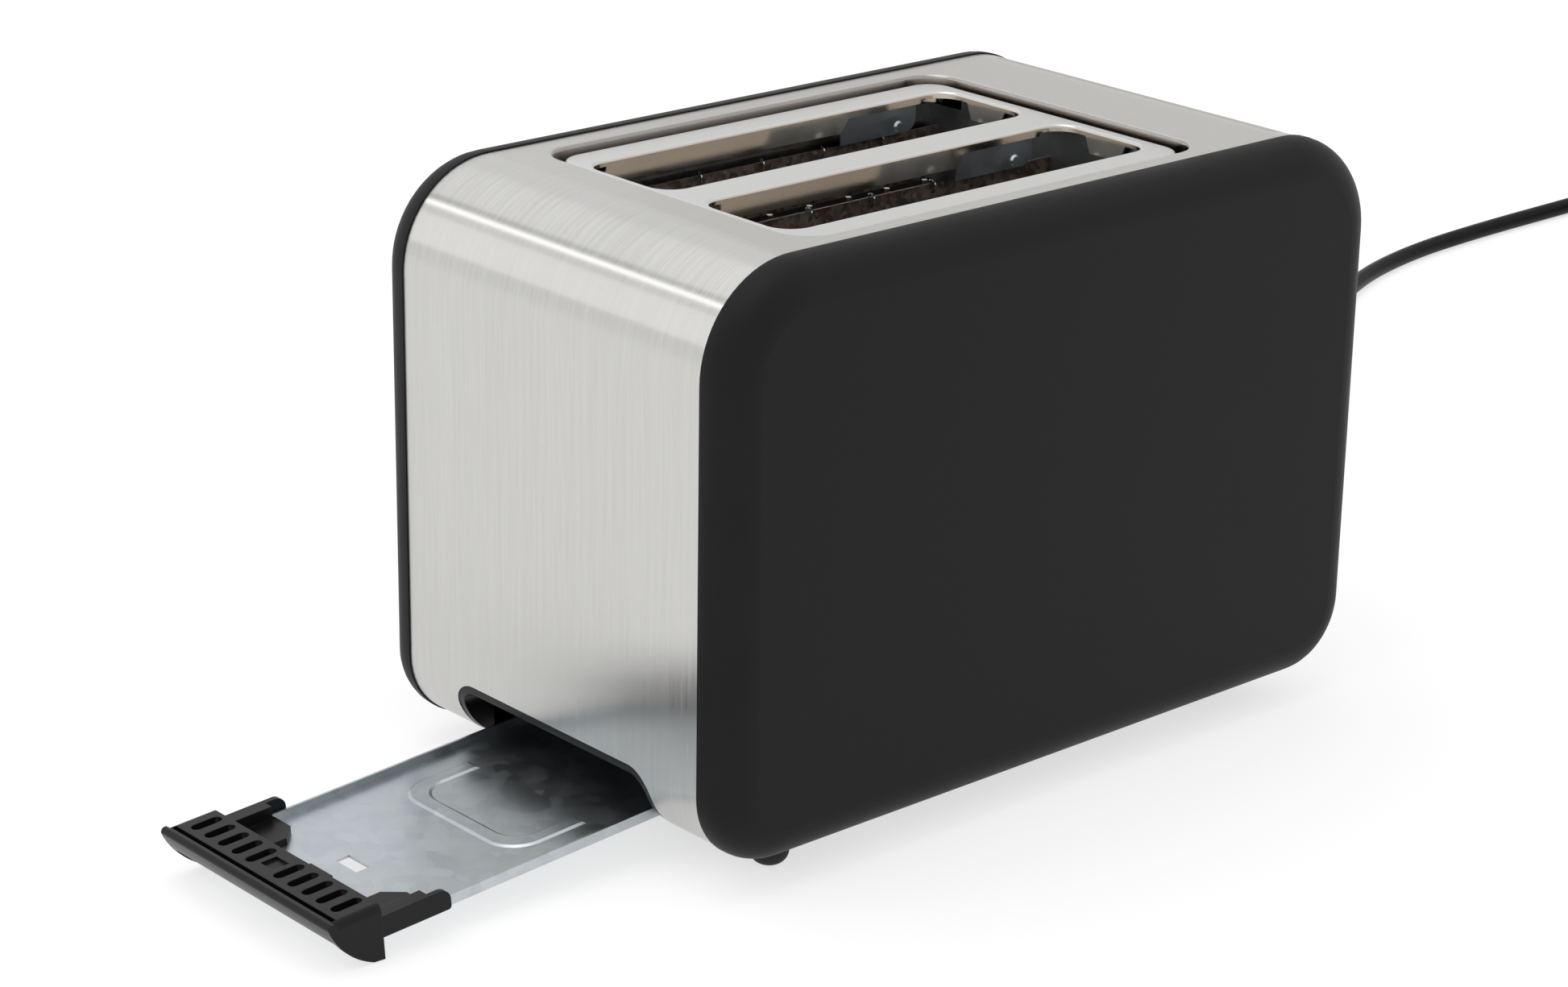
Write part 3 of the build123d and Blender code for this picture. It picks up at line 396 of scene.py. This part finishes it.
# The flanges get the painted reflection; the top of the plate keeps the satin metal's own colour.
flange_reflection_colour = plate_paint.blend(plate_paint.span(reflection_streaks, 0, 1), shade(reflected_wall_beige, 0.74),
                           shade(reflected_wall_beige, 0.94))
plate_paint.colour(plate_paint.blend(on_top, flange_reflection_colour, satin))
plate_paint.roughness(plate_paint.span(on_top, flange_rough, satin_rough, 0, 1))
lean = plate_paint.maths("MULTIPLY", plate_paint.axis("Z"), -flange_lean)
leaning = plate_paint.add("ShaderNodeBump", {"Height": lean, "Strength": 1.0, "Distance": 1.0})
grained = plate_paint.add("ShaderNodeBump", {"Height": satin_grain, "Strength": 0.10,
                                             "Distance": 0.00003, "Normal": leaning.outputs[0]})
plate_paint.tree.links.new(grained.outputs[0], plate_paint.shader.inputs["Normal"])

soft_black = moulded("soft_touch", (0.0078, 0.0077, 0.0078), 0.50, 0.13, 2300, 0.10, 0.0, 0.04)
black_moulding = moulded("black_moulding", (0.0045, 0.0043, 0.0043), 0.31, 0.20, 1700, 0.08)
control_plastic = moulded("control_plastic", (0.0100, 0.0100, 0.0105), 0.22, 0.5, 900, 0.03)
rubber = moulded("rubber", (0.0120, 0.0120, 0.0120), 0.68, 0.3, 1200, 0.25)
cord_sheath = moulded("cord_sheath", (0.0030, 0.0030, 0.0032), 0.36, 0.08, 700, 0.05, 0.0)
component = moulded("component_plastic", (0.035, 0.042, 0.060), 0.35, 0.5, 800, 0.05)
insulation = moulded("lead_insulation", (0.030, 0.070, 0.250), 0.40, 0.5, 900, 0.05, 0.0)
amber = moulded("light_pipe", (0.72, 0.26, 0.05), 0.22, 0.5, 600, 0.03)

zinc = (0.485, 0.525, 0.555)
galvanised = Paint("galvanised", zinc, 0.33, 1.0)
spangle = galvanised.cells(210)
speckle = galvanised.noise((2100, 2100, 2100), 2.0, 0.6)
cloud = galvanised.noise((30, 26, 30), 3.0, 0.5)
zinc_tone = galvanised.sum(galvanised.sum(spangle, speckle, 0.62), cloud, 0.3)
galvanised.colour(galvanised.blend(galvanised.span(zinc_tone, 0, 1), shade(zinc, 0.90),
                                   shade(zinc, 1.10)))
galvanised.roughness(galvanised.span(zinc_tone, 0.29, 0.38))
galvanised.relief(speckle, 0.12, 0.00004)

bright_sheet = brushed("bright_sheet", (0.52, 0.51, 0.50), 0.24, (900, 30, 30), depth=0.1)
plated_wire = brushed("plated_wire", (0.50, 0.49, 0.48), 0.20, (400, 400, 60), depth=0.08)
plated_pin = brushed("plated_pin", (0.60, 0.58, 0.54), 0.24, (1200, 60, 1200), depth=0.1)
ribbon_metal = brushed("resistance_ribbon", (0.20, 0.175, 0.155), 0.34, (60, 60, 900), depth=0.2)
copper = brushed("copper_winding", (0.52, 0.20, 0.08), 0.30, (60, 60, 1800), depth=0.5)

mica = Paint("mica", (0.080, 0.055, 0.042), 0.46, 0.0, 0.5)
flakes = mica.cells(620)
clouded = mica.noise((55, 55, 80), 4.0, 0.6)
mica_tone = mica.sum(flakes, clouded, 0.6)
mica.colour(mica.blend(mica.span(mica_tone, 0, 1, 0.35, 0.75), (0.045, 0.030, 0.023),
                       (0.160, 0.118, 0.090)))
mica.roughness(mica.span(mica_tone, 0.30, 0.60))
mica.relief(flakes, 0.25, 0.00005)

laminate = Paint("circuit_laminate", (0.20, 0.13, 0.05), 0.45, 0.0, 0.5)
weave = laminate.noise((30, 700, 700), 2.0, 0.5)
laminate.colour(laminate.blend(laminate.span(weave, 0, 1), (0.17, 0.11, 0.04),
                               (0.24, 0.16, 0.07)))
laminate.roughness(laminate.span(weave, 0.38, 0.52))
laminate.relief(weave, 0.15, 0.00005)

paints = {
    "brushed_steel_band": steel_band, "satin_plate": plate_paint, "soft_black": soft_black,
    "black_moulding": black_moulding, "galvanised_sheet": galvanised,
    "bright_sheet": bright_sheet, "mica": mica, "resistance_ribbon": ribbon_metal,
    "plated_wire": plated_wire, "control_plastic": control_plastic, "rubber": rubber,
    "cord_sheath": cord_sheath, "plated_pin": plated_pin, "circuit_laminate": laminate,
    "component_plastic": component, "copper_winding": copper, "light_pipe": amber,
    "lead_insulation": insulation,
}
for subpart in frame["record"]["subparts"]:
    obj = nodes[subpart["node"]]
    if obj.name in bpy.data.objects:
        obj.data.materials.clear()
        obj.data.materials.append(paints[subpart["material_slot"]].material)
flex.data.materials.append(cord_sheath.material)
bpy.data.objects["strain_relief"].data.materials.append(rubber.material)
bpy.data.objects["heater_staples"].data.materials.append(plated_wire.material)
print_paint = moulded("dial_print", (0.62, 0.62, 0.60), 0.45, 0.4, 900, 0.03, 0.0)
dial_marks.data.materials.append(print_paint.material)


# ---- Floor, light cards and backdrop ----
def card(name, corners, strength=0.0, colour=(1, 1, 1), faces=((0, 1, 2, 3),), in_view=False):
    """A sheet that isn't part of the object; it glows if it has a strength. Unless it is in
    view, it only lights and is mirrored, so that it never stands before a camera."""
    mesh = bpy.data.meshes.new(name)
    mesh.from_pydata(corners, [], faces)
    sheet = bpy.data.objects.new(name, mesh)
    scene.collection.objects.link(sheet)
    paint = bpy.data.materials.new(name)
    paint.use_nodes = True
    shader = paint.node_tree.nodes["Principled BSDF"]
    shader.inputs["Base Color"].default_value = (*colour, 1)
    shader.inputs["Roughness"].default_value = 0.9
    shader.inputs["Specular IOR Level"].default_value = 0.05
    shader.inputs["Emission Color"].default_value = (1, 1, 1, 1)
    shader.inputs["Emission Strength"].default_value = strength
    mesh.materials.append(paint)
    sheet.visible_camera = in_view
    return sheet


def facing_card(name, heading, low, high, distance, half_width, strength, colour=(1, 1, 1)):
    """An upright card seen from the toaster at a heading, between two elevations."""
    centre = Vector((body_x - 0.1, 0, 0.15))
    out = Vector((cos(radians(heading)), sin(radians(heading)), 0))
    side = Vector((-out.y, out.x, 0)) * half_width
    lower = centre + out * distance + Vector((0, 0, distance * sin(radians(low)) / cos(radians(low))))
    upper = centre + out * distance + Vector((0, 0, distance * sin(radians(high)) / cos(radians(high))))
    return card(name, [lower - side, lower + side, upper + side, upper - side], strength, colour)


def bend_card(name, low, high, strength, colour=(1, 1, 1)):
    """A curved ribbon of light that the brushed bend mirrors to the camera between two
    angles of the bend, 0 being the upright end face."""
    distance, spread, steps = 3.0, 0.34, 12
    bend = Vector((body_x - 0.123, 0, 0.176))
    sight = (bend - camera_place).normalized()
    verts, faces = [], []
    for k in range(steps + 1):
        sideways = spread * (2 * k / steps - 1)
        for angle in (radians(low), radians(high)):
            normal = Vector((-cos(angle), sideways, sin(angle))).normalized()
            verts.append(bend + distance * (sight - 2 * sight.dot(normal) * normal))
        if k:
            faces.append((2 * k - 2, 2 * k, 2 * k + 1, 2 * k - 1))
    return card(name, verts, strength, colour, faces)


floor_half = 8
card("floor", [(-floor_half, -floor_half, 0), (floor_half, -floor_half, 0),
               (floor_half, floor_half, 0), (-floor_half, floor_half, 0)], 0.66, (0.36, 0.36, 0.36),
     in_view=True)
bend_card("side_glow", 19, 36, 0.22)
bend_card("strip_glow", 40.6, 43.2, 1.1)
bend_card("strip_frame", 43.8, 47.0, 0.0, (0.55, 0.55, 0.55))
facing_card("far_shade", heading=30, low=6, high=40, distance=3.4, half_width=1.3,
            strength=0.0, colour=(0.80, 0.79, 0.77))

sun = bpy.data.lights.new("overhead", "AREA")
sun.shape = "RECTANGLE"
sun.size = 1.6
sun.size_y = 1.2
sun.energy = 9
overhead = bpy.data.objects.new("overhead", sun)
scene.collection.objects.link(overhead)
overhead.location = (-0.5, 0.2, 2.0)
overhead.rotation_euler = (0, radians(-12), 0)

world = bpy.data.worlds.new("studio")
world.use_nodes = True
world.node_tree.nodes["Background"].inputs["Color"].default_value = (1, 1, 1, 1)
world.node_tree.nodes["Background"].inputs["Strength"].default_value = 1.0
scene.world = world
scene.view_settings.view_transform = "Standard"
